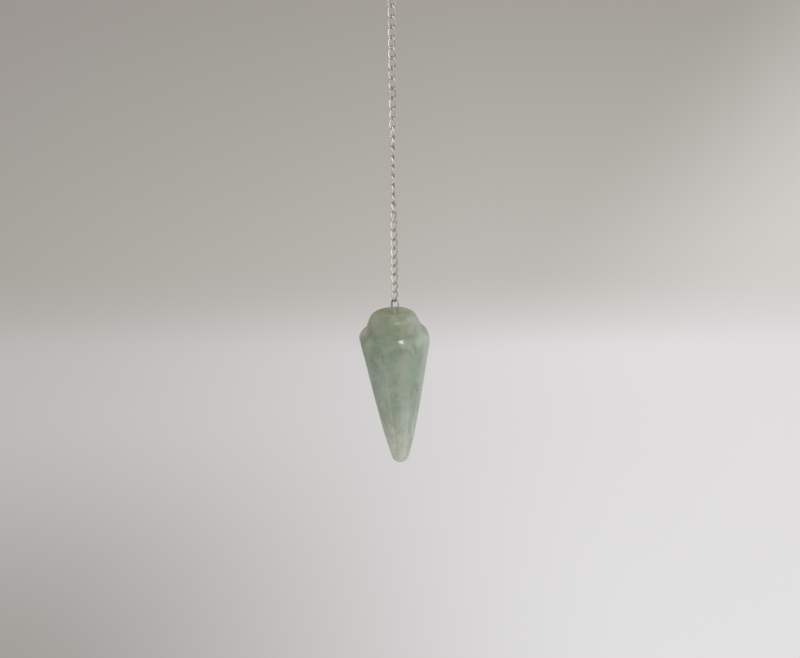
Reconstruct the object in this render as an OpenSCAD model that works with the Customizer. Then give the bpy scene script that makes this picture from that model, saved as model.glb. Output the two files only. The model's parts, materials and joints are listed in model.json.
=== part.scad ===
// Pendulum pendant: a faceted stone cone on a fine curb chain, with a plain
// ring at the chain's free end. Millimetres, Z up, X to the right, and Y away
// from the viewer. The origin is where the end ring hangs, at the inside of
// its top.

/* [Stone] */
// Width of the stone across its rounded shoulder
shoulder_d = 18.6; // [17.6:0.1:24]
// Length of the stone from the top of its cap to its tip
stone_len = 42.6; // [36:0.1:60]
// Depth of the shoulder's widest place below the top of the cap
shoulder_depth = 7.6; // [6.4:0.1:10]
// Width of the cap at its top
cap_top_d = 12.1; // [9:0.1:14]
// Width of the cap where it meets the shoulder
cap_base_d = 14.5; // [12.5:0.1:16]
// Height of the cap above the shoulder
cap_h = 4.1; // [2.5:0.1:5.2]
// Rounding of the cap's top edge
cap_edge_r = 1.2; // [0.4:0.1:2]
// Number of flat facets round the cone
facet_count = 8; // [6:1:12]
// Width of the cone across opposite facets at the shoulder's widest place
facet_width_top = 17; // [15.5:0.1:18.2]
// Width of the cone across opposite facets at the tip
facet_width_tip = 4.8; // [4:0.1:6.5]
// Turn of the front facet about the stone's axis, in degrees
facet_turn = 8.5; // [-22:0.5:22]
// Radius of the rounded tip
tip_r = 2.5; // [2:0.1:2.9]
// Height over which the facets fade out, above the rounded tip
tip_fade_h = 7; // [3:0.5:10]
// Distance of the drilled hole from the stone's axis
hole_offset = 0.7; // [0:0.05:1.5]

/* [Eye loop] */
// Thickness of the eye's wire
eye_wire_d = 0.45; // [0.35:0.05:0.6]
// Outside width of the eye
eye_w = 2.1; // [1.8:0.05:3]
// Height of the eye's opening, from its top wire to the cap
eye_open_h = 3.7; // [3.2:0.1:6]
// Angle at which the eye's legs draw together above the hole, in degrees
eye_leg_angle = 14; // [12:1:40]
// Gap between the two wire ends in the hole
eye_end_gap = 0.06; // [0.04:0.01:0.2]
// Clearance between the wire ends and the wall of the hole
hole_clearance = 0.1; // [0.05:0.01:0.3]
// Depth of the drilled hole
hole_depth = 5; // [3:0.5:10]
// Gap left under the wire ends at the bottom of the hole
hole_end_gap = 0.3; // [0.1:0.1:1]

/* [Chain] */
// Number of links between the end ring and the eye
link_count = 32; // [20:1:36]
// Outside length of a link
link_len = 3.15; // [2.8:0.05:4]
// Outside width of a link
link_w = 1.95; // [1.85:0.05:2.6]
// Thickness of the link's wire
link_wire_d = 0.4; // [0.3:0.01:0.44]
// Gap between the wires of two linked pieces where they hang in each other
link_gap = 0.05; // [0.03:0.01:0.1]
// Twist of a link from its middle to each end, in degrees
link_twist = 45; // [35:1:50]

/* [End ring] */
// Inside width of the ring
ring_in_d = 4.4; // [3:0.1:5.4]
// Thickness of the ring's wire
ring_wire_d = 0.8; // [0.6:0.05:0.9]

/* [Hidden] */
$fn = 96;

// How far down the stone its centre of mass lies, as a share of its length
balance_share = 0.356;
// How far the shoulder's curve runs on below its widest place, in degrees
shoulder_under = 8;
// How far straight outlines run into the round ones that they meet
overlap = 0.01;
// How far a cut starts outside the face that it opens
cut_past = 1;
// Shortest straight stretch of the eye's legs, between its top arc and their
// bend; in a low eye the legs draw together at a wider angle to leave it
eye_straight = 0.2;
// How much thicker than its wire a bend of the eye is
knee_swell = 1.03;
// Roundness of a link's outline: 2 is an ellipse, more is squarer
link_roundness = 2.5;
// Points along one link, and corners of its wire
link_steps = 16;
wire_sides = 6;

// How the links lie along the hanging chain: the place, from 0 at the end
// ring to 1 at the eye, and the turn of the link there, in degrees
chain_turns = [
    [0.00, -15], [0.32, -15], [0.35, -42], [0.39, -26], [0.42, -66],
    [0.48, -88], [0.64, -92], [0.68, -112], [0.71, -136], [0.77, -154],
    [0.87, -160], [0.94, -150], [1.00, -135]
];

// The chain, from the end ring down to the hinge in the last link
ring_r = (ring_in_d + ring_wire_d) / 2;
ring_low_z = -ring_in_d - ring_wire_d / 2;
link_half = (link_len - link_wire_d) / 2;
link_pitch = link_len - 2 * link_wire_d - link_gap;
link_1_z = ring_low_z + (ring_wire_d + link_wire_d) / 2 + link_gap - link_half;
function link_z(i) = link_1_z - (i - 1) * link_pitch;
function link_turn(i) = lookup((i - 1) / (link_count - 1), chain_turns);
hinge_z = link_z(link_count) - link_half;

// The eye and the stone hang in a frame of their own below the hinge
eye_r = (eye_w - eye_wire_d) / 2;
eye_top_z = (link_wire_d + eye_wire_d) / 2 + link_gap;
cap_z = eye_top_z - eye_wire_d / 2 - eye_open_h;
eye_end_x = (eye_wire_d + eye_end_gap) / 2;
knee_d = eye_wire_d * knee_swell;
hole_d = 2 * (eye_end_x + eye_wire_d / 2 + hole_clearance);
lean = atan(hole_offset / (balance_share * stone_len - cap_z));

// The facets, and how far the ridges between them are from the axis at z
facet_taper = atan((facet_width_top - facet_width_tip) / 2
    / (stone_len - shoulder_depth));
function ridge_r(z) =
    (facet_width_tip / 2 + (stone_len + z) * tan(facet_taper)) / cos(180 / facet_count);

// Every node of the model

function unit(v) = v / norm(v);

// Middle of a link's wire at angle t round its outline, twisted about Z
function side_power(v) = sign(v) * pow(abs(v), 2 / link_roundness);
function wire_point(t) =
    let (out = (link_w - link_wire_d) / 2 * side_power(cos(t)),
         z = link_half * side_power(sin(t)),
         a = -link_twist * z / link_half)
    [out * cos(a), out * sin(a), z];

// Ring of wire corners at angle t, square to the wire
function wire_ring(t) =
    let (step = 360 / link_steps,
         p = wire_point(t),
         along = unit(wire_point(t + step / 4) - wire_point(t - step / 4)),
         a = -link_twist * p.z / link_half,
         flat = [-sin(a), cos(a), 0],
         side = unit(cross(along, flat)),
         face = cross(side, along))
    [for (k = [0 : wire_sides - 1])
        let (b = 360 * k / wire_sides)
        p + link_wire_d / 2 * (side * cos(b) + face * sin(b))];

// One closed link, standing on Z with its middle at the origin
module curb_link() {
    points = [for (j = [0 : link_steps - 1]) each wire_ring(360 * j / link_steps)];
    corner = function (j, k)
        (j % link_steps) * wire_sides + k % wire_sides;
    faces = [
        for (j = [0 : link_steps - 1], k = [0 : wire_sides - 1]) each [
            [corner(j, k), corner(j, k + 1), corner(j + 1, k)],
            [corner(j + 1, k), corner(j, k + 1), corner(j + 1, k + 1)]
        ]
    ];
    polyhedron(points = points, faces = faces);
}

module chain_link(i) {
    color("silver")
        translate([0, 0, link_z(i)])
            rotate([0, 0, link_turn(i)])
                curb_link();
}

// A round bar bent to an arc in the XZ plane, round the origin, from the
// angle start over the angle sweep, both measured from X towards Z
module bent_wire(r, wire_d, start, sweep) {
    rotate([90, 0, 0])
        rotate([0, 0, start])
            rotate_extrude(angle = sweep)
                translate([r, 0])
                    circle(d = wire_d);
}

// The ring lies across the top of the first link
module end_ring() {
    color("silver")
        translate([0, 0, ring_low_z + ring_r])
            rotate([90, 0, link_turn(1) - link_twist + 90])
                rotate_extrude()
                    translate([ring_r, 0])
                        circle(d = ring_wire_d);
}

// Puts what hangs on the last link in its place, as it balances there
module hung() {
    translate([0, 0, hinge_z])
        rotate([0, -lean, link_turn(link_count) + link_twist + 90])
            children();
}

// One leg of the eye, from its top arc down into the hole, with a round
// knee at each bend
module eye_leg() {
    run = eye_r - eye_end_x;
    arc_z = eye_top_z - eye_r;
    knee_z = min(cap_z + run / tan(eye_leg_angle), arc_z - eye_straight);
    leg = [run, knee_z - cap_z];
    translate([eye_r, 0, knee_z])
        cylinder(h = arc_z - knee_z, d = eye_wire_d);
    translate([eye_r, 0, knee_z])
        sphere(d = knee_d);
    translate([eye_r, 0, knee_z])
        rotate([0, 180 + atan(leg.x / leg.y), 0])
            cylinder(h = norm(leg), d = eye_wire_d);
    translate([eye_end_x, 0, cap_z])
        sphere(d = knee_d);
    translate([eye_end_x, 0, cap_z - hole_depth + hole_end_gap])
        cylinder(h = hole_depth - hole_end_gap, d = eye_wire_d);
}

module eye_loop() {
    color("silver")
        hung() {
            translate([0, 0, eye_top_z - eye_r])
                bent_wire(eye_r, eye_wire_d, 0, 180);
            eye_leg();
            rotate([0, 0, 180])
                eye_leg();
        }
}

// The turned blank of the stone, before its facets are cut: a cap with a
// round top edge, a round shoulder, a cone and half a ball for the tip
module stone_blank() {
    edge = [cap_top_d / 2 - cap_edge_r, -cap_edge_r];
    crease = [cap_base_d / 2, -cap_h];
    shoulder_rise = shoulder_depth - cap_h;
    shoulder_run = (shoulder_d - cap_base_d) / 2;
    shoulder_r = (pow(shoulder_rise, 2) + pow(shoulder_run, 2)) / (2 * shoulder_run);
    shoulder = [shoulder_d / 2 - shoulder_r, -shoulder_depth];
    under = shoulder + (shoulder_r - overlap)
        * [cos(shoulder_under), -sin(shoulder_under)];
    tip_z = tip_r - stone_len;
    fade_z = tip_z + tip_fade_h;
    rotate_extrude() {
        polygon([
            [0, 0], [edge.x, 0], edge + [cap_edge_r - overlap, 0], crease,
            under, [ridge_r(fade_z), fade_z], [tip_r, tip_z], [0, tip_z]
        ]);
        translate(edge)
            circle(r = cap_edge_r);
        intersection() {
            translate(shoulder)
                circle(r = shoulder_r);
            translate([0, -stone_len])
                square([shoulder_d, stone_len]);
        }
    }
    rotate_extrude()
        intersection() {
            translate([0, tip_z])
                circle(r = tip_r);
            translate([0, -stone_len])
                square([tip_r, tip_r]);
        }
}

module stone() {
    color("darkseagreen")
        hung()
            translate([-hole_offset, 0, cap_z])
                difference() {
                    stone_blank();
                    // the flat facets
                    for (k = [0 : facet_count - 1])
                        rotate([0, 0, facet_turn - 90 + k * 360 / facet_count])
                            translate([facet_width_top / 2, 0, -shoulder_depth])
                                rotate([0, facet_taper, 0])
                                    translate([0, -shoulder_d, -stone_len])
                                        cube([shoulder_d, 2 * shoulder_d, stone_len + cap_h]);
                    // the drilled hole
                    translate([hole_offset, 0, -hole_depth])
                        cylinder(h = hole_depth + cut_past, d = hole_d);
                }
}

end_ring();
for (i = [1 : link_count])
    chain_link(i);
eye_loop();
stone();
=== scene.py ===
"""Looks of the pendulum pendant: a cloudy green stone cone with polished facets,
a silver wire eye held by a drop of resin, and a fine twisted curb chain with a
plain ring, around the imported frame.

Lengths are named in millimetres, as the frame's source has them, and turned
into metres where a mesh, light or camera is made. +Z is up, +X is to the right
and +Y is away from the viewer."""

import json
import math

import bpy
import numpy as np
from mathutils import Matrix, Vector


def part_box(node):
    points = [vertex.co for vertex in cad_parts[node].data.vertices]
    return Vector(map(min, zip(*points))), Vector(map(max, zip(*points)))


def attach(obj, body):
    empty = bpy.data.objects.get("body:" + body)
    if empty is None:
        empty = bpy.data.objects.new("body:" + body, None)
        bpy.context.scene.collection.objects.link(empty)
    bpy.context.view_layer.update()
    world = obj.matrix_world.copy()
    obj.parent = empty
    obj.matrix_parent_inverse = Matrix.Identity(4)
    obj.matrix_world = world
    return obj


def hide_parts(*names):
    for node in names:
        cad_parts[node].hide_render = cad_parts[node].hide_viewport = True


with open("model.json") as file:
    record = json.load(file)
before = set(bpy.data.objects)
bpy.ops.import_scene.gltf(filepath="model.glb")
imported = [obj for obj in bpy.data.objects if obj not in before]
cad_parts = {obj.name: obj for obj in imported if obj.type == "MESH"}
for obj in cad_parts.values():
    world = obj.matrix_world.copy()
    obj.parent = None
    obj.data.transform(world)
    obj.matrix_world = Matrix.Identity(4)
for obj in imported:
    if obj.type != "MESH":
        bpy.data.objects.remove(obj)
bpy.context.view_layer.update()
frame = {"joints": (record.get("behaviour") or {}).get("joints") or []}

MM = 0.001

# Stone
SHOULDER_D = 18.6
STONE_LEN = 42.6
SHOULDER_DEPTH = 7.6
CAP_TOP_D = 12.1
CAP_BASE_D = 14.5
CAP_H = 4.1
CAP_EDGE_R = 1.2
FACETS = 8
FACET_WIDTH_TOP = 17.0
FACET_WIDTH_TIP = 4.8
FACET_TURN = 8.5
TIP_R = 2.5
TIP_FADE_H = 7.0
HOLE_OFFSET = 0.7
HOLE_D = 1.16
HOLE_DEPTH = 5.0
HOLE_BEVEL = 0.07
# The polish leaves the cone a little full, and its edges soft
CAP_EDGE_POLISH = 0.3
CONE_BULGE = 0.13
FACET_BULGE = 0.05
RIDGE_SOFT = 0.3
FACET_TOP_SOFT = 0.36
# At its top a facet is eased out by this much, over this height, and its middle
# has a blend that is wider than at the ridges by this share
FACET_EASE = 0.06
FACET_EASE_H = 5.0
FACET_BLEND = 1.2
OUTLINE_SOFT = 0.32
# How many degrees the shoulder's arc goes on below its widest place
SHOULDER_UNDER = 8.0
# The height of the long waves in the polish, which fade out nearer the axis
# than this
WAVE_H = 0.018
WAVE_FADE_R = 3.0

# Eye
EYE_WIRE_D = 0.45
EYE_W = 2.1
EYE_OPEN_H = 3.7
EYE_LEG_ANGLE = 14.0
EYE_STRAIGHT = 0.2
EYE_END_GAP = 0.06
EYE_END_DEPTH = 4.7
EYE_END_TAPER = 0.8
EYE_BEND_SOFT = 0.26
PATH_STEP = 0.02

# Chain
LINK_COUNT = 32
LINK_LEN = 3.15
LINK_W = 1.95
LINK_WIRE_D = 0.4
LINK_GAP = 0.05
LINK_TWIST = 45.0
LINK_ROUNDNESS = 2.5
# Place along the chain, from 0 at the ring to 1 at the eye, and the link's turn
CHAIN_TURNS = [
    (0.00, -15), (0.32, -15), (0.35, -42), (0.39, -26), (0.42, -66),
    (0.48, -88), (0.64, -92), (0.68, -112), (0.71, -136), (0.77, -154),
    (0.87, -160), (0.94, -150), (1.00, -135),
]

# End ring
RING_IN_D = 4.4
RING_WIRE_D = 0.8

# Where the stone hangs, worked out as in the frame's source
HINGE = Vector(frame["joints"][0]["pos_m"])
EYE_R = (EYE_W - EYE_WIRE_D) / 2
EYE_TOP_Z = (LINK_WIRE_D + EYE_WIRE_D) / 2 + LINK_GAP
CAP_Z = EYE_TOP_Z - EYE_WIRE_D / 2 - EYE_OPEN_H
BALANCE_SHARE = 0.356
LEAN = math.atan(HOLE_OFFSET / (BALANCE_SHARE * STONE_LEN - CAP_Z))
FACET_TAPER = (FACET_WIDTH_TOP - FACET_WIDTH_TIP) / 2 / (STONE_LEN - SHOULDER_DEPTH)
FACET_SPAN = 2 * math.pi / FACETS

# Camera, as the photo was taken
LENS_MM = 50.0
SENSOR_MM = 36.0
IMAGE_W = 800
IMAGE_H = 658
HINGE_PX = (394.95, 301.2)
HINGE_DISTANCE = 257.0
CAMERA_PITCH = 23.8
CAMERA_ROLL = -0.6
CLIP_START = 10.0


def link_turn(i):
    """Turn of link i about the chain, in degrees."""
    places, turns = zip(*CHAIN_TURNS)
    return float(np.interp((i - 1) / (LINK_COUNT - 1), places, turns))


def hung(extra=Matrix.Identity(4)):
    """The place of what hangs on the last link, in metres."""
    turn = math.radians(link_turn(LINK_COUNT) + LINK_TWIST + 90)
    place = (
        Matrix.Translation(HINGE)
        @ Matrix.Rotation(turn, 4, "Z")
        @ Matrix.Rotation(-LEAN, 4, "Y")
        @ Matrix.Scale(MM, 4)
    )
    return place @ extra


STONE_PLACE = hung(Matrix.Translation((-HOLE_OFFSET, 0, CAP_Z)))


# Meshes

def moved(points, matrix):
    """points, an array of rows of x, y, z, taken through a 4 by 4 matrix."""
    m = np.array(matrix)
    return points @ m[:3, :3].T + m[:3, 3]


def new_mesh(name, verts, faces, matrix, material):
    """A smooth mesh object whose place is in its vertices."""
    mesh = bpy.data.meshes.new(name)
    mesh.from_pydata(moved(verts, matrix).tolist(), [], faces)
    mesh.polygons.foreach_set("use_smooth", [True] * len(mesh.polygons))
    mesh.update()
    mesh.materials.append(material)
    obj = bpy.data.objects.new(name, mesh)
    bpy.context.scene.collection.objects.link(obj)
    return obj


def set_values(obj, name, values):
    """Stores one number a vertex for the material: for wear and shade, how far it lies in
    a place that rubs and gathers dirt, and on the eye and the last link also how deep its
    painted shade lies; or "side", where it lies across a facet, which sets painted light
    and shade on the facet's two halves."""
    layer = obj.data.attributes.new(name, "FLOAT", "POINT")
    layer.data.foreach_set("value", np.asarray(values, np.float32))


def smooth_step(value, low, high):
    """0 up to low, 1 from high on, and a smooth rise between them."""
    share = np.clip((value - low) / (high - low), 0, 1)
    return share * share * (3 - 2 * share)


def skin(rings, sides, closed):
    """Quads between rings of vertices, numbered ring by ring."""
    faces = []
    steps = rings if closed else rings - 1
    for j in range(steps):
        low = j * sides
        high = (j + 1) % rings * sides
        for k in range(sides):
            n = (k + 1) % sides
            faces.append((low + k, low + n, high + n, high + k))
    return faces


def unit(v):
    return v / np.linalg.norm(v, axis=-1, keepdims=True)


def resampled(points, count, closed):
    """count points spaced evenly along a path."""
    if closed:
        points = np.vstack([points, points[:1]])
    along = np.r_[0, np.cumsum(np.linalg.norm(np.diff(points, axis=0), axis=1))]
    want = np.linspace(0, along[-1], count, endpoint=not closed)
    return np.stack([np.interp(want, along, points[:, a]) for a in range(3)], 1)


def tube(centres, normals, radii, sides, closed):
    """Vertices and faces of a round wire along centres; normals say which way
    its first corner points. An open wire gets round ends."""
    if closed:
        along = np.roll(centres, -1, 0) - np.roll(centres, 1, 0)
    else:
        along = np.gradient(centres, axis=0)
    along = unit(along)
    side = unit(np.cross(along, normals))
    face = np.cross(side, along)
    turns = 2 * np.pi * np.arange(sides) / sides
    circle = (
        side[:, None] * np.cos(turns)[None, :, None]
        + face[:, None] * np.sin(turns)[None, :, None]
    )
    verts = centres[:, None] + circle * np.asarray(radii)[:, None, None]
    faces = skin(len(centres), sides, closed)
    verts = verts.reshape(-1, 3)
    if not closed:
        faces.append(tuple(range(sides))[::-1])
        last = (len(centres) - 1) * sides
        faces.append(tuple(range(last, last + sides)))
    return verts, faces


def seam(share, at, width, depth):
    """Thinning of a wire where its two ends were brought together."""
    away = (share - at + 0.5) % 1.0 - 0.5
    return 1.0 - depth * np.exp(-((away / width) ** 2))


# Chain

LINK_POINTS = 96
LINK_PATH_POINTS = 1440
LINK_SIDES = 16
LINK_SEAM = {"at": 0.5, "width": 0.006, "depth": 0.10}
# How far a link may be turned from its place, in degrees
LINK_PLAY = 2.0
# How worn a link's ends are, at the top of the chain and how much more at its
# bottom, and between which shares of its half length the wear sets in
LINK_WEAR = 0.7
LINK_WEAR_MORE = 0.2
LINK_WEAR_AT = (0.60, 0.92)
# Where the last link's lower end darkens, with tarnish and painted shade, in shares of
# its half length
LAST_LINK_WEAR_AND_SHADE_AT = (0.40, 0.70)


def signed_power(v, power):
    return np.sign(v) * np.abs(v) ** power


def link_path(t):
    """Middle of a link's wire at the angles t round its outline."""
    half = (LINK_LEN - LINK_WIRE_D) / 2
    out = (LINK_W - LINK_WIRE_D) / 2 * signed_power(np.cos(t), 2 / LINK_ROUNDNESS)
    z = half * signed_power(np.sin(t), 2 / LINK_ROUNDNESS)
    turn = np.radians(-LINK_TWIST) * z / half
    return np.stack([out * np.cos(turn), out * np.sin(turn), z], 1)


def link_flat(centres):
    """The direction across the link's twisted flat side at these places."""
    half = (LINK_LEN - LINK_WIRE_D) / 2
    turn = np.radians(-LINK_TWIST) * centres[:, 2] / half
    return np.stack([-np.sin(turn), np.cos(turn), np.zeros(len(turn))], 1)


def chain_link(i, material, rng):
    """Link i, with a small seam on one side and its own small turn."""
    fine = link_path(np.linspace(0, 2 * np.pi, LINK_PATH_POINTS, endpoint=False))
    centres = resampled(fine, LINK_POINTS, closed=True)
    share = np.arange(LINK_POINTS) / LINK_POINTS
    radii = LINK_WIRE_D / 2 * seam(share, **LINK_SEAM)
    verts, faces = tube(centres, link_flat(centres), radii, LINK_SIDES, closed=True)
    low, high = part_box(f"link_{i}")
    middle = (low.z + high.z) / 2
    turn = math.radians(link_turn(i) + rng.uniform(-LINK_PLAY, LINK_PLAY))
    place = (
        Matrix.Translation((0, 0, middle))
        @ Matrix.Rotation(turn, 4, "Z")
        @ Matrix.Scale(MM, 4)
    )
    obj = new_mesh(f"silver_link_{i}", verts, faces, place, material)
    up = verts[:, 2] / (LINK_LEN / 2)
    most = LINK_WEAR + LINK_WEAR_MORE * i / LINK_COUNT
    wear_and_shade = most * smooth_step(np.abs(up), *LINK_WEAR_AT)
    # the last link's lower end, in the eye, is darkened as tarnish and painted shade
    if i == LINK_COUNT:
        wear_and_shade = np.maximum(wear_and_shade, smooth_step(-up, *LAST_LINK_WEAR_AND_SHADE_AT))
    set_values(obj, "wear_and_shade", wear_and_shade)
    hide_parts(f"link_{i}")
    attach(obj, "chain")
    return obj


RING_POINTS = 160
RING_SIDES = 28
RING_SEAM = {"at": 0.5, "width": 0.003, "depth": 0.14}
# How strongly its points crowd at the seam, below 1
RING_CROWD = 0.42
# How worn it is where the chain hangs in it, and where, in shares of its radius
RING_WEAR = 0.7
RING_WEAR_FROM = 0.75
RING_WEAR_FADE = 0.2


def end_ring(material):
    """The plain ring at the free end, with the seam of its closed cut."""
    r = (RING_IN_D + RING_WIRE_D) / 2
    share = np.arange(RING_POINTS) / RING_POINTS
    # more points at the seam
    share = (share + RING_CROWD / (2 * np.pi) * np.sin(2 * np.pi * share)) % 1.0
    t = 2 * np.pi * share
    centres = np.stack([r * np.cos(t), r * np.sin(t), 0 * t], 1)
    normals = np.tile([0.0, 0.0, 1.0], (RING_POINTS, 1))
    radii = RING_WIRE_D / 2 * seam(share, **RING_SEAM)
    verts, faces = tube(centres, normals, radii, RING_SIDES, closed=True)
    low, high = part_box("end_ring")
    turn = math.radians(link_turn(1) - LINK_TWIST + 90)
    place = (
        Matrix.Translation((low + high) / 2)
        @ Matrix.Rotation(turn, 4, "Z")
        @ Matrix.Rotation(math.radians(90), 4, "X")
        @ Matrix.Scale(MM, 4)
    )
    obj = new_mesh("silver_end_ring", verts, faces, place, material)
    worn = np.clip((-verts[:, 1] / r - RING_WEAR_FROM) / RING_WEAR_FADE, 0, 1)
    set_values(obj, "wear_and_shade", RING_WEAR * worn)
    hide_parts("end_ring")
    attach(obj, "chain")
    return obj


# Eye

EYE_POINTS = 260
EYE_ARC_POINTS = 61
EYE_SIDES = 24
# How much darker its legs are made, and its ends at the hole, with wear and painted
# shade, where its top in the last link, with tarnish and painted shade, is wholly so
LEFT_LEG_DARKENING = 0.6
RIGHT_LEG_DARKENING = 0.45
HOLE_WEAR_AND_SHADE = 0.3


def softened(points, sigma, step):
    """A path with its corners rounded off, by averaging over about sigma mm."""
    along = np.r_[0, np.cumsum(np.linalg.norm(np.diff(points, axis=0), axis=1))]
    count = int(along[-1] / step)
    want = np.linspace(0, along[-1], count)
    even = np.stack([np.interp(want, along, c) for c in points.T], 1)
    reach = int(4 * sigma / step)
    weight = np.exp(-0.5 * (np.arange(-reach, reach + 1) * step / sigma) ** 2)
    weight /= weight.sum()
    padded = np.pad(even, ((reach, reach), (0, 0)), mode="reflect", reflect_type="odd")
    return np.stack([np.convolve(c, weight, "valid") for c in padded.T], 1)


def eye_darkening(verts):
    """Darkening of the eye: most where it hangs in the last link, as tarnish and painted
    shade, but for the right shoulder; then down the left leg and low on the right leg;
    and at the hole, as wear and painted shade."""
    x, z = verts[:, 0], verts[:, 2]
    clean = smooth_step(x, 0.35, 0.7)
    top = smooth_step(z, EYE_TOP_Z - 0.9, EYE_TOP_Z - 0.4) * (1 - clean)
    left = LEFT_LEG_DARKENING * smooth_step(-x, 0.3, 0.6) * smooth_step(z, -1.6, -1.2)
    right = RIGHT_LEG_DARKENING * smooth_step(x, 0.1, 0.3) * smooth_step(-z, 1.2, 1.7)
    low = HOLE_WEAR_AND_SHADE * smooth_step(-z, 2.6, -CAP_Z)
    return np.maximum.reduce([top, left, right, low])


def eye_loop(material):
    """One wire: out of the hole, up round the last link, and back down."""
    end_x = (EYE_WIRE_D + EYE_END_GAP) / 2
    arc_z = EYE_TOP_Z - EYE_R
    knee_z = CAP_Z + (EYE_R - end_x) / math.tan(math.radians(EYE_LEG_ANGLE))
    knee_z = min(knee_z, arc_z - EYE_STRAIGHT)
    leg = [(end_x, 0, CAP_Z - EYE_END_DEPTH), (end_x, 0, CAP_Z), (EYE_R, 0, knee_z)]
    t = np.radians(np.linspace(0, 180, EYE_ARC_POINTS))
    arc = np.stack([EYE_R * np.cos(t), 0 * t, arc_z + EYE_R * np.sin(t)], 1)
    back = [(-x, y, z) for x, y, z in reversed(leg)]
    path = softened(np.vstack([leg, arc, back]), EYE_BEND_SOFT, PATH_STEP)
    centres = resampled(path, EYE_POINTS, closed=False)
    normals = np.tile([0.0, 1.0, 0.0], (EYE_POINTS, 1))
    radii = np.full(EYE_POINTS, EYE_WIRE_D / 2)
    radii[[0, -1]] *= EYE_END_TAPER
    verts, faces = tube(centres, normals, radii, EYE_SIDES, closed=False)
    obj = new_mesh("silver_eye", verts, faces, hung(), material)
    set_values(obj, "wear_and_shade", eye_darkening(verts))
    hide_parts("eye_loop")
    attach(obj, "pendant")
    return obj


# Stone

STONE_RINGS = 270
SEGMENTS_PER_FACET = 28
RING_FOCUS = 3.0
TOP_RINGS = 22
HOLE_RINGS = 10
# How strongly painted light and shade part a facet's two halves, darker on its left and
# paler on its right, standing in for light that shows through the stone, and at which
# depths that comes and goes
FACET_PAINTED_LIGHT = 0.29
FACET_PAINTED_LIGHT_FROM = (8.0, 11.5)
FACET_PAINTED_LIGHT_TO = (37.0, 41.0)


def flat_distance(z):
    """How far a plain flat facet is from the stone's axis at height z."""
    return FACET_WIDTH_TIP / 2 + (STONE_LEN + z) * FACET_TAPER


def facet_distance(z):
    """The same for a polished facet."""
    share = np.clip((-z - SHOULDER_DEPTH) / (STONE_LEN - SHOULDER_DEPTH), 0, 1)
    fade = smooth_step(-z, SHOULDER_DEPTH, SHOULDER_DEPTH + FACET_EASE_H)
    return flat_distance(z) + FACET_EASE * (1 - fade) + CONE_BULGE * np.sin(np.pi * share)


def ridge_distance(z):
    """How far the ridges between plain facets are from the axis."""
    return flat_distance(z) / math.cos(FACET_SPAN / 2)


def arc(centre, r, start, end, count=60):
    """count points of an arc, from one angle to another in degrees."""
    t = np.radians(np.linspace(start, end, count))
    return np.stack([centre[0] + r * np.cos(t), centre[1] + r * np.sin(t)], 1)


def blank_outline():
    """The turned outline from the flat of the cap to the tip, as rows of
    distance from the axis and height, before the facets are cut."""
    edge_r = CAP_EDGE_R + CAP_EDGE_POLISH
    edge = (CAP_TOP_D / 2 - edge_r, -edge_r)
    crease = (CAP_BASE_D / 2, -CAP_H)
    run = (SHOULDER_D - CAP_BASE_D) / 2
    rise = SHOULDER_DEPTH - CAP_H
    shoulder_r = (rise**2 + run**2) / (2 * run)
    shoulder = (SHOULDER_D / 2 - shoulder_r, -SHOULDER_DEPTH)
    to_crease = (crease[0] - edge[0], crease[1] - edge[1])
    side_angle = math.degrees(
        math.atan2(to_crease[1], to_crease[0])
        + math.acos(edge_r / math.hypot(*to_crease))
    )
    crease_angle = math.degrees(math.atan2(rise, crease[0] - shoulder[0]))
    tip_z = TIP_R - STONE_LEN
    fade_z = tip_z + TIP_FADE_H
    points = np.vstack([
        arc(edge, edge_r, 90, side_angle),
        arc(shoulder, shoulder_r, crease_angle, -SHOULDER_UNDER),
        [(ridge_distance(fade_z), fade_z)],
        arc((0, tip_z), TIP_R, 0, -90),
    ])
    smooth = softened(points, OUTLINE_SOFT, PATH_STEP)
    smooth[:, 0] = np.maximum(smooth[:, 0], 0)
    return smooth


def focused(outline, count):
    """count points of an outline, closer together where it bends."""
    step = np.diff(outline, axis=0)
    length = np.linalg.norm(step, axis=1)
    heading = np.unwrap(np.arctan2(step[:, 1], step[:, 0]))
    bend = np.r_[0, np.abs(np.diff(heading))]
    along = np.r_[0, np.cumsum(length + RING_FOCUS * bend)]
    want = np.linspace(0, along[-1], count)
    return np.stack([np.interp(want, along, outline[:, a]) for a in range(2)], 1)


def soft_min(a, b, width):
    """The lesser of a and b, with the corner between them rounded off."""
    h = np.clip(0.5 + 0.5 * (b - a) / width, 0, 1)
    return b * (1 - h) + a * h - width * h * (1 - h)


def stone_angles():
    """Angles round the stone, closer together at the facets' ridges."""
    u = np.linspace(-1, 1, SEGMENTS_PER_FACET, endpoint=False)
    spread = FACET_SPAN / 2 * (0.5 * u + 0.5 * np.sin(np.pi / 2 * u))
    first = math.radians(FACET_TURN - 90)
    return np.concatenate([first + k * FACET_SPAN + spread for k in range(FACETS)])


def from_facet(theta):
    """The angles theta, counted from the middle of the nearest facet."""
    from_ridge = (theta - math.radians(FACET_TURN - 90) + FACET_SPAN / 2) % FACET_SPAN
    return from_ridge - FACET_SPAN / 2


def stone_radius(theta, r, z):
    """Distance of the stone's skin from its axis at the angles theta, where
    the turned blank has the radius r and the height z."""
    near = from_facet(theta)
    other = FACET_SPAN - np.abs(near)
    middle = np.cos(np.pi * near / FACET_SPAN)
    cut = facet_distance(z)
    facets = soft_min(
        (cut + FACET_BULGE * middle) / np.cos(near), cut / np.cos(other), RIDGE_SOFT
    )
    width = FACET_TOP_SOFT * (1 + FACET_BLEND * middle**2)
    body = soft_min(facets, np.full_like(theta, r), width)
    # the hand polish leaves long shallow waves
    wave = 0.5 * np.sin(2 * theta + 0.21 * z) + 0.5 * np.sin(3 * theta - 0.33 * z + 1.3)
    return body + WAVE_H * wave * min(1.0, r / WAVE_FADE_R)


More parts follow.
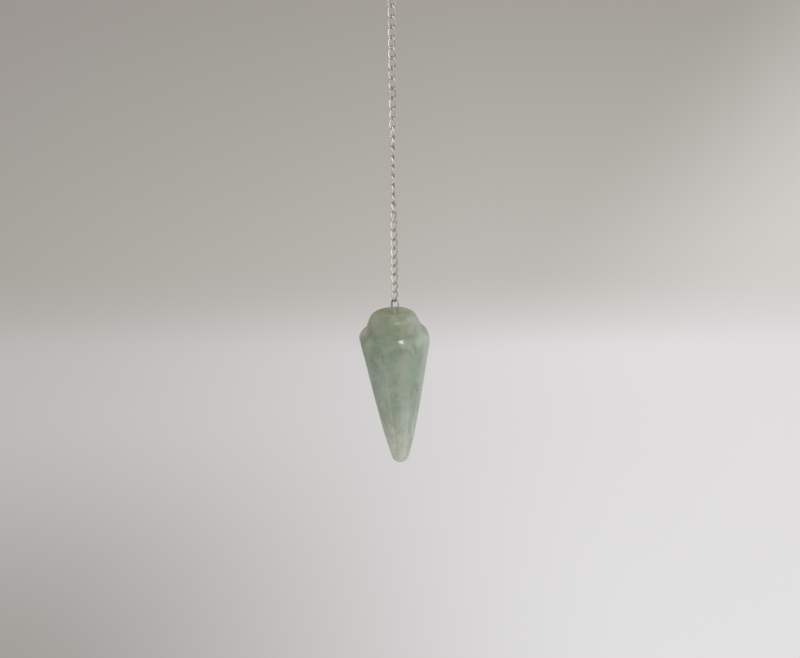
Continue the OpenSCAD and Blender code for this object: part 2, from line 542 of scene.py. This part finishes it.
def stone(material):
    """The polished stone: one skin from the floor of its hole, up and over the
    cap, and down to the tip."""
    theta = stone_angles()
    cos, sin = np.cos(theta), np.sin(theta)
    hole_r = HOLE_D / 2
    outline = focused(blank_outline(), STONE_RINGS)
    rings = []

    def ring(x, r, z):
        rings.append(np.stack([x + r * cos, r * sin, np.full_like(theta, z)], 1))

    for share in np.linspace(0, 1, HOLE_RINGS):
        ring(HOLE_OFFSET, hole_r, -HOLE_DEPTH + share * (HOLE_DEPTH - HOLE_BEVEL))
    for angle in np.radians([150, 120, 90]):
        bevel = HOLE_BEVEL * (1 + math.cos(angle))
        ring(HOLE_OFFSET, hole_r + bevel, -HOLE_BEVEL * (1 - math.sin(angle)))
    # over the flat of the cap, from the hole to the round edge
    flat_r = outline[0, 0]
    start_r = hole_r + HOLE_BEVEL
    for share in np.linspace(0, 1, TOP_RINGS)[1:-1]:
        ring(HOLE_OFFSET * (1 - share), start_r + share * (flat_r - start_r), 0.0)
    sides = len(theta)
    side = from_facet(theta) / (FACET_SPAN / 2)
    # across carries the painted light and shade over each facet's two halves, faded in
    # and out with depth
    across = [0 * side] * len(rings)
    for r, z in outline[:-1]:
        fade = smooth_step(-z, *FACET_PAINTED_LIGHT_FROM) * (1 - smooth_step(-z, *FACET_PAINTED_LIGHT_TO))
        across.append(side * fade)
        radius = stone_radius(theta, r, z)
        rings.append(np.stack([radius * cos, radius * sin, np.full_like(theta, z)], 1))
    verts = np.vstack(rings)
    faces = [f[::-1] for f in skin(len(rings), sides, closed=False)]
    # close the bottom of the hole and the tip with a fan each
    floor_at = len(verts)
    last = (len(rings) - 1) * sides
    verts = np.vstack([verts, [(HOLE_OFFSET, 0, -HOLE_DEPTH)], [(0, 0, outline[-1, 1])]])
    for k in range(sides):
        n = (k + 1) % sides
        faces.append((floor_at, k, n))
        faces.append((floor_at + 1, last + n, last + k))
    obj = new_mesh("stone_body", verts, faces, STONE_PLACE, material)
    set_values(obj, "side", np.r_[np.concatenate(across), 0, 0])
    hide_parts("stone")
    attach(obj, "pendant")
    return obj


RESIN_SIDES = 48
RESIN_RINGS = 14
RESIN_DEPTH = 1.2
RESIN_SPREAD = 0.09
RESIN_RISE = 0.06
# It overlaps the stone by this much, so that no crack shows
RESIN_LAP = 0.01


def resin(material):
    """The drop of resin that holds the eye's ends in the hole. It fills the
    hole's mouth and stands a little proud of the cap."""
    turns = 2 * np.pi * np.arange(RESIN_SIDES) / RESIN_SIDES
    cos, sin = np.cos(turns), np.sin(turns)
    in_hole = HOLE_D / 2 + RESIN_LAP
    wide = HOLE_D / 2 + HOLE_BEVEL + RESIN_SPREAD
    profile = [(in_hole, -RESIN_DEPTH), (in_hole, -HOLE_BEVEL), (wide, -RESIN_LAP)]
    for share in np.linspace(0.98, 0.06, RESIN_RINGS):
        profile.append((wide * share, RESIN_RISE * (1 - share**2)))
    rings = [
        np.stack([HOLE_OFFSET + r * cos, r * sin, np.full_like(turns, z)], 1)
        for r, z in profile
    ]
    last = (len(rings) - 1) * RESIN_SIDES
    faces = skin(len(rings), RESIN_SIDES, closed=False)
    faces.append(tuple(range(RESIN_SIDES))[::-1])
    faces.append(tuple(range(last, last + RESIN_SIDES)))
    obj = new_mesh("resin_in_hole", np.vstack(rings), faces, STONE_PLACE, material)
    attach(obj, "pendant")
    return obj


# Materials

class Nodes:
    """Adds nodes to a material and wires them up."""

    def __init__(self, name):
        self.material = bpy.data.materials.new(name)
        self.material.use_nodes = True
        self.tree = self.material.node_tree
        self.tree.nodes.clear()
        self.shader = self.tree.nodes.new("ShaderNodeBsdfPrincipled")
        output = self.tree.nodes.new("ShaderNodeOutputMaterial")
        self.tree.links.new(self.shader.outputs["BSDF"], output.inputs["Surface"])

    def put(self, socket, value):
        """Sets an input to a number or colour, or links it to another node."""
        if isinstance(value, bpy.types.NodeSocket):
            self.tree.links.new(value, socket)
        else:
            socket.default_value = value

    def add(self, kind, inputs=(), **properties):
        node = self.tree.nodes.new(kind)
        for key, value in properties.items():
            setattr(node, key, value)
        for key, value in dict(inputs).items():
            self.put(node.inputs[key], value)
        return node

    def shade(self, **values):
        for key, value in values.items():
            self.put(self.shader.inputs[key.replace("_", " ")], value)

    def place(self, stretch=(1, 1, 1), turn=(0, 0, 0)):
        """Object coordinates in millimetres, stretched along the axes."""
        source = self.add("ShaderNodeTexCoord").outputs["Object"]
        scale = tuple(1 / MM / s for s in stretch)
        mapping = self.add("ShaderNodeMapping", {"Vector": source, "Scale": scale})
        mapping.inputs["Rotation"].default_value = turn
        return mapping.outputs["Vector"]

    def noise(self, vector, scale, detail=3.0, rough=0.5, distortion=0.0, seed=0.0):
        node = self.add(
            "ShaderNodeTexNoise",
            {"Vector": vector, "Scale": scale, "Detail": detail, "Roughness": rough,
             "Distortion": distortion, "W": seed},
            noise_dimensions="4D",
        )
        return node.outputs["Fac"]

    def ramp(self, value, stops):
        """A colour ramp from (place, colour) pairs."""
        node = self.add("ShaderNodeValToRGB", {"Fac": value})
        points = node.color_ramp.elements
        while len(points) < len(stops):
            points.new(0.5)
        for point, (place, colour) in zip(points, stops):
            point.position = place
            point.color = (*colour, 1.0)
        return node.outputs["Color"]

    def remap(self, value, low, high, to_low=0.0, to_high=1.0, smooth=True):
        node = self.add(
            "ShaderNodeMapRange",
            {"Value": value, "From Min": low, "From Max": high,
             "To Min": to_low, "To Max": to_high},
            interpolation_type="SMOOTHSTEP" if smooth else "LINEAR",
        )
        return node.outputs["Result"]

    def math(self, operation, a, b=0.0):
        node = self.add("ShaderNodeMath", operation=operation)
        self.put(node.inputs[0], a)
        self.put(node.inputs[1], b)
        return node.outputs["Value"]

    def mix(self, factor, a, b, blend="MIX"):
        """Mixes two colours by a factor from 0 to 1."""
        node = self.add("ShaderNodeMix", data_type="RGBA", blend_type=blend)
        self.put(node.inputs["Factor"], factor)
        for socket, value in zip((node.inputs[6], node.inputs[7]), (a, b)):
            self.put(socket, (*value, 1.0) if isinstance(value, tuple) else value)
        return node.outputs[2]

    def bump(self, height, strength, distance_mm):
        node = self.add(
            "ShaderNodeBump",
            {"Height": height, "Strength": strength, "Distance": distance_mm * MM},
        )
        return node.outputs["Normal"]


# Between which values most of a noise lies, and nearly all of it
MOST = (0.35, 0.65)
NEARLY_ALL = (0.3, 0.7)

CHAIN_BRIGHT = (0.94, 0.92, 0.83)
CHAIN_DIRT = (0.24, 0.20, 0.16)
CHAIN_ROUGHNESS = 0.12
EYE_BRIGHT = (0.92, 0.88, 0.81)
# The eye's dark colour serves for its dirt and for its painted shade
EYE_DIRT_AND_SHADE = (0.14, 0.10, 0.07)
EYE_ROUGHNESS = 0.15
# How much rougher silver is in places, and where dirt covers it
ROUGHER = 0.12
ROUGHER_DIRT = 0.22
# The most dirt in thin films that lie anywhere
FILM = 0.45
# Silver's duller places are this much of its bright colour
DULLER = 0.9


def silver(name, bright, dirt, roughness):
    """Polished silver: bright, with fine scratches, and darkened where its attribute of
    wear and shade says: tarnished where pieces rub, and on the eye and the last link's
    lower end partly painted shade."""
    n = Nodes(name)
    where = n.place()
    patches = n.noise(where, scale=0.9, detail=4, rough=0.6)
    fine = n.noise(where, scale=7.0, detail=3, rough=0.7, seed=4.0)
    tall = n.place(stretch=(1, 1, 6))
    scratches = n.noise(tall, scale=24.0, detail=2, seed=9.0)
    wear_and_shade = n.add("ShaderNodeAttribute", attribute_name="wear_and_shade").outputs["Fac"]
    # the attribute darkens: dirt where pieces rub, and on the eye and the last link
    # painted shade too
    grime_and_shade = n.math("MULTIPLY", wear_and_shade, n.remap(fine, 0.25, 0.6, 0.6, 1.0))
    film = n.remap(patches, 0.44, 0.66, 0.0, FILM)
    dull = n.math("MAXIMUM", grime_and_shade, film)
    duller = tuple(DULLER * c for c in bright)
    metal = n.mix(n.remap(patches, *MOST), bright, duller)
    polish = n.remap(fine, *NEARLY_ALL, roughness, roughness + ROUGHER)
    n.shade(
        Base_Color=n.mix(dull, metal, dirt),
        Metallic=1.0,
        Roughness=n.math("ADD", polish, n.math("MULTIPLY", dull, ROUGHER_DIRT)),
        Normal=n.bump(n.math("ADD", scratches, fine), strength=0.25, distance_mm=0.01),
    )
    return n.material


# The stone's colour at a depth below the cap's top in mm. It is deepest in the cap, and
# pales towards the thin tip, which lets light through; that paling is partly painted
# light.
STONE_TONES = [
    (0.0, (0.318, 0.348, 0.264)),
    (0.3, (0.266, 0.296, 0.220)),
    (1.6, (0.258, 0.288, 0.212)),
    (3.6, (0.264, 0.302, 0.218)),
    (5.8, (0.254, 0.308, 0.226)),
    (7.4, (0.315, 0.376, 0.292)),
    (9.6, (0.366, 0.436, 0.350)),
    (12.5, (0.378, 0.450, 0.364)),
    (22.0, (0.440, 0.508, 0.425)),
    (30.0, (0.515, 0.562, 0.485)),
    (36.0, (0.612, 0.643, 0.563)),
    (42.6, (0.655, 0.668, 0.605)),
]
# How much darker and paler than that its clouds are
DARK_CLOUD = (0.79, 0.83, 0.79)
PALE_CLOUD = (1.21, 1.18, 1.21)
# How much the clouds and the streaks each count in that, and the grain
CLOUD_SHARE = 0.34
GRAIN_SHARE = 0.32
STONE_ROUGHNESS = (0.16, 0.22)
# Specks: how many there are to a mm, how far each fades, which of them show,
# by chance, and how strongly
SPECKS_PER_MM = 0.85
SPECK_FADE = (0.08, 0.24)
SPECK_CHANCE = (0.78, 0.82)
SPECK_STRENGTH = 0.25
# The tints of its patches
SPECK = (0.150, 0.230, 0.140)
OLIVE = (0.330, 0.335, 0.120)
MOSS = (0.265, 0.320, 0.190)
DARK_MOSS = (0.195, 0.225, 0.160)
DEEP_GREEN = (0.190, 0.290, 0.195)
LEAF_GREEN = (0.270, 0.350, 0.255)
SEA_GREEN = (0.330, 0.440, 0.355)
MAUVE = (0.505, 0.550, 0.482)
BLUE_GREY = (0.430, 0.465, 0.440)
GREY_GREEN = (0.430, 0.455, 0.365)
PALE_GREEN = (0.520, 0.575, 0.510)
CREAM = (0.680, 0.700, 0.640)
TAN = (0.430, 0.390, 0.240)

# Soft patches on the skin of the stone, placed as the photo shows them: the
# angle from the front, positive to the right; the way down over the skin from
# the middle of the cap's flat, the half width and the half height, in mm; the
# strength; the tint
# Some patches are the stone's own colour; others are painted light and shade, as marked
# below
PATCHES = [
    (-128, 3.1, 1.0, 1.0, 0.65, OLIVE),
    (-109, 1.6, 0.9, 0.9, 0.65, OLIVE),
    (-97, 3.6, 1.2, 0.9, 0.45, OLIVE),
    (-80, 1.5, 0.9, 0.9, 0.60, OLIVE),
    (2, 3.8, 1.6, 0.9, 0.15, MAUVE),
    (57, 5.3, 2.2, 1.8, 0.45, BLUE_GREY),
    (48, 7.6, 1.6, 1.3, 0.45, BLUE_GREY),
    (14, 7.2, 2.4, 1.6, 0.50, LEAF_GREEN),
    (-64, 6.6, 2.6, 2.0, 0.50, GREY_GREEN),
    (-84, 9.8, 2.4, 2.8, 0.65, MAUVE),
    (-34, 7.5, 1.6, 1.3, 0.40, GREY_GREEN),
    (-11, 7.2, 2.2, 0.9, 0.45, MOSS),
    (-72, 5.2, 1.2, 0.8, 0.40, LEAF_GREEN),
    # painted shade: the darker moss just below the front of the cap
    (11, 6.7, 1.5, 0.9, 0.55, DARK_MOSS),
    (3, 8.3, 2.2, 1.0, 0.35, DARK_MOSS),
    (-38, 9.0, 2.0, 0.8, 0.25, GREY_GREEN),
    (30, 11.2, 2.8, 1.6, 0.35, BLUE_GREY),
    # painted light: lifts the shade just below the shoulder on the right
    (41, 12.9, 1.4, 1.3, 0.65, PALE_GREEN),
    (-20, 10.3, 2.6, 0.9, 0.30, LEAF_GREEN),
    (-27, 10.9, 1.7, 1.2, 0.70, DEEP_GREEN),
    (-48, 12.6, 1.8, 1.6, 0.35, MAUVE),
    (74, 7.6, 2.2, 2.4, 0.70, BLUE_GREY),
    (66, 9.2, 2.0, 1.2, 0.50, BLUE_GREY),
    (88, 10.2, 2.0, 1.6, 0.30, PALE_GREEN),
    # painted light: pale patches on the right side, standing in for light from the right
    (60, 12.2, 3.4, 2.9, 0.68, PALE_GREEN),
    (72, 16.0, 2.4, 4.4, 0.80, PALE_GREEN),
    (50, 15.0, 1.3, 1.3, 0.50, PALE_GREEN),
    (-9, 11.3, 2.6, 0.9, 0.30, LEAF_GREEN),
    # painted light: these pale patches lift the shade under the facets' top edges
    (0, 13.4, 2.6, 1.0, 0.15, PALE_GREEN),
    (24, 14.2, 1.4, 1.6, 0.60, PALE_GREEN),
    (-13, 20.0, 1.2, 4.6, 0.30, MAUVE),
    # painted reflection: the long mauve band down the front right facet
    (14, 18.6, 1.5, 6.6, 0.75, MAUVE),
    (40, 19.5, 1.7, 7.0, 0.85, SEA_GREEN),
    (44, 23.5, 1.0, 3.0, 0.50, SEA_GREEN),
    (46, 24.2, 1.2, 1.6, 0.55, LEAF_GREEN),
    (42, 37.6, 1.1, 2.2, 0.50, SEA_GREEN),
    (13, 24.5, 2.0, 2.6, 0.50, PALE_GREEN),
    (53, 26.5, 0.55, 0.5, 0.90, SPECK),
    (17, 27.5, 1.2, 3.6, 0.50, PALE_GREEN),
    (18, 33.5, 1.5, 3.6, 0.70, PALE_GREEN),
    (20, 33.0, 1.3, 3.2, 0.40, CREAM),
    (0, 33.5, 1.2, 2.6, 0.35, PALE_GREEN),
    (-1, 29.4, 1.2, 2.2, 0.45, SEA_GREEN),
    (-26, 29.0, 1.1, 3.6, 0.50, SEA_GREEN),
    (-62, 30.0, 1.2, 9.0, 0.40, PALE_GREEN),
    (-58, 36.8, 1.0, 4.0, 0.45, CREAM),
    (-50, 21.1, 1.2, 2.2, 0.30, PALE_GREEN),
    (46, 32.0, 0.9, 6.5, 0.60, SEA_GREEN),
    (87, 22.0, 1.6, 9.0, 0.25, PALE_GREEN),
    (75, 34.0, 1.6, 6.5, 0.45, SEA_GREEN),
    (62, 43.0, 1.4, 5.5, 0.55, SEA_GREEN),
    (100, 43.0, 2.0, 7.0, 0.45, SEA_GREEN),
    (13, 42.5, 1.7, 4.8, 0.40, CREAM),
    (-11, 44.4, 0.35, 0.7, 0.55, TAN),
    (48, 46.3, 0.35, 0.8, 0.55, MOSS),
]


def on_skin(angle, run):
    """The place on the stone's skin at an angle from the front, and a way down
    over the turned outline from the middle of the cap's flat."""
    outline = np.vstack([[(0.0, 0.0)], blank_outline()])
    along = np.r_[0, np.cumsum(np.linalg.norm(np.diff(outline, axis=0), axis=1))]
    r = np.interp(run, along, outline[:, 0])
    z = np.interp(run, along, outline[:, 1])
    theta = np.array([math.radians(angle - 90)])
    skin_r = stone_radius(theta, r, z)[0] if z < 0 else r
    return Vector((skin_r * math.cos(theta[0]), skin_r * math.sin(theta[0]), z))


# How far the patches' edges stray, in mm, and over which shares of their half
# size they fade
PATCH_STRAY = (2.4, 2.4, 3.6)
PATCH_FADE = (0.3, 1.35)


def patched(n, where, wobble, colour):
    """Lays the patches over the stone's colour, with ragged edges: some are its own
    colour, others painted light and shade.
    """
    shift = n.add("ShaderNodeVectorMath", operation="SCALE")
    n.put(shift.inputs[0], PATCH_STRAY)
    n.put(shift.inputs["Scale"], n.math("SUBTRACT", wobble, 0.5))
    ragged = n.add("ShaderNodeVectorMath", operation="ADD")
    n.put(ragged.inputs[0], where)
    n.put(ragged.inputs[1], shift.outputs["Vector"])
    for angle, run, half_w, half_h, strength, tint in PATCHES:
        centre = (STONE_PLACE @ on_skin(angle, run)) / MM
        away = n.add("ShaderNodeVectorMath", operation="SUBTRACT")
        n.put(away.inputs[0], ragged.outputs["Vector"])
        n.put(away.inputs[1], tuple(centre))
        scaled = n.add("ShaderNodeVectorMath", operation="DIVIDE")
        n.put(scaled.inputs[0], away.outputs["Vector"])
        n.put(scaled.inputs[1], (half_w, half_w, half_h))
        length = n.add("ShaderNodeVectorMath", operation="LENGTH")
        n.put(length.inputs[0], scaled.outputs["Vector"])
        near = n.remap(length.outputs["Value"], *PATCH_FADE, strength, 0.0)
        colour = n.mix(near, colour, tint)
    return colour


def cloudy_stone():
    """Cloudy green quartz: mottled, with streaks, patches, specks and a paler tip, with
    painted light and shade in some patches, across each facet and in the paling of the
    tip. It lets light a little way in, and is polished."""
    n = Nodes("cloudy_stone")
    where = n.place()
    tall = n.place(stretch=(1, 1, 2.6))
    clouds = n.noise(where, scale=0.16, detail=5, rough=0.55, distortion=0.8)
    streaks = n.noise(tall, scale=0.42, detail=2, distortion=0.7, seed=3.0)
    grain = n.noise(where, scale=1.1, detail=3, rough=0.60, seed=7.0)
    large = n.math("MULTIPLY", n.math("ADD", clouds, streaks), CLOUD_SHARE)
    cloud = n.math("ADD", large, n.math("MULTIPLY", grain, GRAIN_SHARE))
    # each facet is painted darker on its left and paler on its right, as painted light
    # for light that shows through the stone
    side = n.add("ShaderNodeAttribute", attribute_name="side").outputs["Fac"]
    cloud_and_facet_light = n.math("ADD", n.remap(cloud, *MOST), n.math("MULTIPLY", side, FACET_PAINTED_LIGHT))
    height = n.add("ShaderNodeSeparateXYZ", {"Vector": where}).outputs["Z"]
    cap = (STONE_PLACE @ Vector((0, 0, 0))).z / MM
    depth = n.remap(height, cap, cap - STONE_LEN, smooth=False)
    tone = n.ramp(depth, [(at / STONE_LEN, tint) for at, tint in STONE_TONES])
    dark = n.mix(1.0, tone, DARK_CLOUD, blend="MULTIPLY")
    light = n.mix(1.0, tone, PALE_CLOUD, blend="MULTIPLY")
    colour = n.mix(cloud_and_facet_light, dark, light)
    colour = patched(n, where, streaks, colour)
    # specks
    cells = n.add("ShaderNodeTexVoronoi", {"Vector": where, "Scale": SPECKS_PER_MM})
    spot = n.remap(cells.outputs["Distance"], *SPECK_FADE, SPECK_STRENGTH, 0.0)
    chance = n.add("ShaderNodeSeparateColor", {"Color": cells.outputs["Color"]})
    chosen = n.remap(chance.outputs["Red"], *SPECK_CHANCE)
    speck = n.math("MULTIPLY", spot, chosen)
    colour = n.mix(speck, colour, SPECK)
    n.shade(
        Base_Color=colour,
        Roughness=n.remap(grain, *NEARLY_ALL, *STONE_ROUGHNESS),
        IOR=1.54,
        Subsurface_Weight=1.0,
        Subsurface_Radius=(1.0, 1.25, 0.85),
        Subsurface_Scale=3.0 * MM,
        Normal=n.bump(grain, strength=0.05, distance_mm=0.05),
    )
    return n.material


RESIN_DARK = (0.290, 0.325, 0.225)
RESIN_PALE = (0.370, 0.405, 0.300)
RESIN_ROUGHNESS = (0.12, 0.25)


def clouded_resin():
    """Resin with stone dust in it."""
    n = Nodes("clouded_resin")
    dust = n.noise(n.place(), scale=2.5, detail=3, rough=0.6)
    n.shade(
        Base_Color=n.mix(n.remap(dust, *MOST), RESIN_DARK, RESIN_PALE),
        Roughness=n.remap(dust, *NEARLY_ALL, *RESIN_ROUGHNESS),
        IOR=1.5,
        Subsurface_Weight=1.0,
        Subsurface_Radius=(1.0, 1.0, 0.7),
        Subsurface_Scale=0.5 * MM,
        Normal=n.bump(dust, strength=0.15, distance_mm=0.05),
    )
    return n.material


# Stage, lights and camera

FLOOR_Z = -330.0
WALL_Y = 620.0
COVE_R = 60.0
STAGE_HALF_W = 2600.0
STAGE_FRONT = -2600.0
WALL_TOP = 2400.0
COVE_STEPS = 17
# Where tones meet: left and right on the near and the far floor and on the
# wall, near and far, under the object and beyond it, low and high on the wall,
# and, in y plus z, floor and wall
NEAR_BLEND = (-210.0, 130.0)
FAR_BLEND = (-370.0, 240.0)
ACROSS_WALL = (-330.0, 60.0)
DEPTH_BLEND = (80.0, 430.0)
UNDER_BLEND = (-20.0, 150.0)
UP_WALL = (FLOOR_Z, -90.0)
WALL_BLEND = (165.0, 315.0)
NEAR_LEFT = (0.330, 0.310, 0.290)
NEAR_RIGHT = (0.768, 0.756, 0.762)
FAR_LEFT = (0.492, 0.474, 0.464)
FAR_RIGHT = (0.748, 0.732, 0.738)
UNDER_TONE = (0.420, 0.406, 0.396)
WALL_LEFT = (0.412, 0.392, 0.362)
WALL_RIGHT = (0.522, 0.506, 0.474)
TOP_LEFT = (0.330, 0.307, 0.285)
TOP_RIGHT = (0.377, 0.357, 0.326)
# The wall's brighter corner, low on the right, painted light, and the slope of its edge
CORNER = (0.640, 0.622, 0.592)
CORNER_SLOPE = -0.70
CORNER_EDGE = (300.0, 560.0)


def backdrop():
    """A pale floor that turns up into a greyer wall in a soft cove. It glows evenly, as a
    lit studio sweep does, and is darker to the left; its tones are painted light and
    shade: darker to the left and at the near left, a brighter corner low on the wall's
    right, and dimmer under the object."""
    n = Nodes("backdrop")
    split = n.add("ShaderNodeSeparateXYZ", {"Vector": n.place()})
    x, y, z = (split.outputs[a] for a in "XYZ")
    near = n.mix(n.remap(x, *NEAR_BLEND), NEAR_LEFT, NEAR_RIGHT)
    far = n.mix(n.remap(x, *FAR_BLEND), FAR_LEFT, FAR_RIGHT)
    floor = n.mix(n.remap(y, *DEPTH_BLEND), near, far)
    # the part of it that lies under the object is out of the light
    floor = n.mix(n.remap(y, *UNDER_BLEND, 1.0, 0.0), floor, UNDER_TONE)
    across = n.remap(x, *ACROSS_WALL, smooth=False)
    low = n.mix(across, WALL_LEFT, WALL_RIGHT)
    top = n.mix(across, TOP_LEFT, TOP_RIGHT)
    wall = n.mix(n.remap(z, *UP_WALL, smooth=False), low, top)
    slant = n.math("ADD", x, n.math("MULTIPLY", z, CORNER_SLOPE))
    wall = n.mix(n.remap(slant, *CORNER_EDGE), wall, CORNER)
    tone = n.mix(n.remap(n.math("ADD", y, z), *WALL_BLEND), floor, wall)
    n.shade(
        Base_Color=(0, 0, 0, 1),
        Specular_IOR_Level=0.0,
        Emission_Color=tone,
        Emission_Strength=1.0,
    )
    profile = [(STAGE_FRONT, FLOOR_Z)]
    for angle in np.radians(np.linspace(-90, 0, COVE_STEPS)):
        profile.append((WALL_Y - COVE_R + COVE_R * math.cos(angle),
                        FLOOR_Z + COVE_R + COVE_R * math.sin(angle)))
    profile.append((WALL_Y, WALL_TOP))
    verts = [(x, y, z) for y, z in profile for x in (-STAGE_HALF_W, STAGE_HALF_W)]
    faces = [(2 * i, 2 * i + 1, 2 * i + 3, 2 * i + 2) for i in range(len(profile) - 1)]
    stage = new_mesh("backdrop", np.array(verts), faces, Matrix.Scale(MM, 4), n.material)


LAMP_PLACE = (200.0, -190.0, 900.0)
LAMP_AIM = (0.0, 0.0, -90.0)
LAMP_SIZE = (120.0, 400.0)
LAMP_WATTS = 2.25
LAMP_COLOUR = (0.96, 0.98, 1.0)
# The room: its colour, its strength to the left and to the right and how far
# out these lie, and its bright side, which is behind the camera, and how near
# to that direction it sets in and is full
ROOM_COLOUR = (1.0, 0.985, 0.96, 1.0)
ROOM_LEFT = 0.53
ROOM_RIGHT = 0.63
ROOM_SIDES = (-0.9, 0.9)
ROOM_BRIGHT = 1.16
BRIGHT_SIDE = (0.20, -0.90, 0.39)
BRIGHT_REACH = (0.45, 0.98)


def area_light(name, place_mm, aim_mm, size_mm, watts, colour):
    """A soft rectangular light at a place, turned towards a point."""
    data = bpy.data.lights.new(name, "AREA")
    data.shape = "RECTANGLE"
    data.size = size_mm[0] * MM
    data.size_y = size_mm[1] * MM
    data.energy = watts
    data.color = colour
    light = bpy.data.objects.new(name, data)
    light.location = Vector(place_mm) * MM
    toward = Vector(aim_mm) - Vector(place_mm)
    light.rotation_euler = toward.to_track_quat("-Z", "Y").to_euler()
    bpy.context.scene.collection.objects.link(light)


def lights():
    """One lamp, high up, in a room with a bright side."""
    area_light("lamp", LAMP_PLACE, LAMP_AIM, LAMP_SIZE, LAMP_WATTS, LAMP_COLOUR)
    world = bpy.data.worlds.new("room")
    world.use_nodes = True
    nodes = world.node_tree.nodes
    wire = world.node_tree.links.new

    def remapped(value, low, high, to_low, to_high):
        node = nodes.new("ShaderNodeMapRange")
        node.interpolation_type = "SMOOTHSTEP"
        for key, setting in zip(("From Min", "From Max"), (low, high)):
            node.inputs[key].default_value = setting
        for key, setting in zip(("To Min", "To Max"), (to_low, to_high)):
            if isinstance(setting, bpy.types.NodeSocket):
                wire(setting, node.inputs[key])
            else:
                node.inputs[key].default_value = setting
        wire(value, node.inputs["Value"])
        return node.outputs["Result"]

    direction = nodes.new("ShaderNodeTexCoord").outputs["Generated"]
    split = nodes.new("ShaderNodeSeparateXYZ")
    wire(direction, split.inputs["Vector"])
    facing = nodes.new("ShaderNodeVectorMath")
    facing.operation = "DOT_PRODUCT"
    wire(direction, facing.inputs[0])
    facing.inputs[1].default_value = BRIGHT_SIDE
    side = remapped(split.outputs["X"], *ROOM_SIDES, ROOM_LEFT, ROOM_RIGHT)
    strength = remapped(facing.outputs["Value"], *BRIGHT_REACH, side, ROOM_BRIGHT)
    background = nodes["Background"]
    background.inputs["Color"].default_value = ROOM_COLOUR
    wire(strength, background.inputs["Strength"])
    bpy.context.scene.world = world


def camera():
    """The camera where the photo was taken from, with the hinge at its pixel."""
    pitch = math.radians(CAMERA_PITCH)
    roll = math.radians(CAMERA_ROLL)
    forward = Vector((0, math.cos(pitch), -math.sin(pitch)))
    level_up = Vector((0, math.sin(pitch), math.cos(pitch)))
    level_right = Vector((1, 0, 0))
    right = level_right * math.cos(roll) + level_up * math.sin(roll)
    up = level_up * math.cos(roll) - level_right * math.sin(roll)
    pixels = LENS_MM / SENSOR_MM * IMAGE_W
    ray = (
        forward
        + right * (HINGE_PX[0] - IMAGE_W / 2) / pixels
        - up * (HINGE_PX[1] - IMAGE_H / 2) / pixels
    )
    data = bpy.data.cameras.new("camera")
    data.lens = LENS_MM
    data.sensor_width = SENSOR_MM
    data.clip_start = CLIP_START * MM
    obj = bpy.data.objects.new("camera", data)
    turn = Matrix((right, up, -forward)).transposed().to_4x4()
    place = HINGE - ray * (HINGE_DISTANCE * MM / ray.y)
    obj.matrix_world = Matrix.Translation(place) @ turn
    bpy.context.scene.collection.objects.link(obj)
    bpy.context.scene.camera = obj


# The links' small turns are drawn from this
SEED = 5


def main():
    camera()
    rng = np.random.default_rng(SEED)
    chain_silver = silver("chain_silver", CHAIN_BRIGHT, CHAIN_DIRT, CHAIN_ROUGHNESS)
    eye_silver = silver("eye_silver", EYE_BRIGHT, EYE_DIRT_AND_SHADE, EYE_ROUGHNESS)
    end_ring(chain_silver)
    for i in range(1, LINK_COUNT):
        chain_link(i, chain_silver, rng)
    # the last link rubs in the eye and is as dull as it; its lower end there is darkened
    # with tarnish and painted shade
    chain_link(LINK_COUNT, eye_silver, rng)
    eye_loop(eye_silver)
    stone(cloudy_stone())
    resin(clouded_resin())
    backdrop()
    lights()
    bpy.context.scene.view_settings.view_transform = "Standard"


main()
